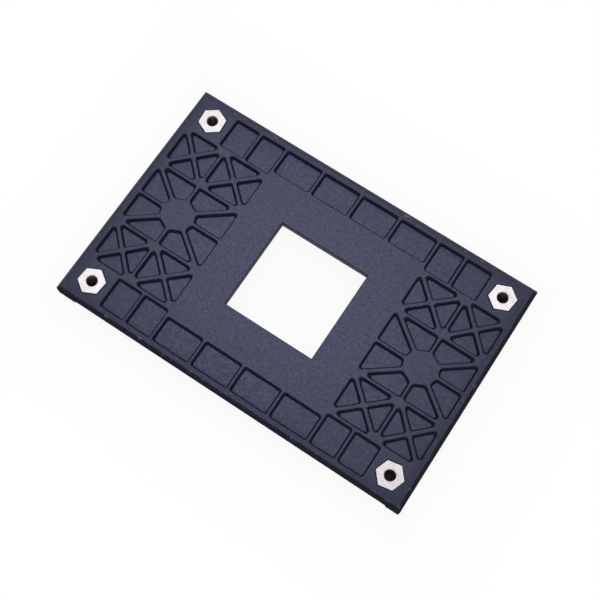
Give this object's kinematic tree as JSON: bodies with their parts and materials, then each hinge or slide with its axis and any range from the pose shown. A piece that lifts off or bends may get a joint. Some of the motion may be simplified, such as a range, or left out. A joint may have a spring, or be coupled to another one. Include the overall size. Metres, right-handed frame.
{
  "type": "cpu cooler mounting backplate",
  "caption": "Moulded plastic backplate with a square window, a relief of braced and spoked pockets on its rear face, and threaded hex inserts in its corners to carry a cooler.",
  "frame": {"origin": "centre of the four-hole pattern, on the plane of the barrels' lower ends, on which the part stands", "axes": "+X along the long side, +Y along the short side, +Z out of the ribbed rear face"},
  "size_m": [0.1036, 0.067, 0.0074],
  "materials": {
    "plate_plastic": "satin moulded black plastic, fine grain",
    "insert_steel": "bright nickel-plated turned steel"
  },
  "bodies": {
    "root": {"backplate": "plate_plastic", "insert_back_left": "insert_steel", "insert_back_right": "insert_steel", "insert_front_left": "insert_steel", "insert_front_right": "insert_steel"}
  },
  "joints": []
}
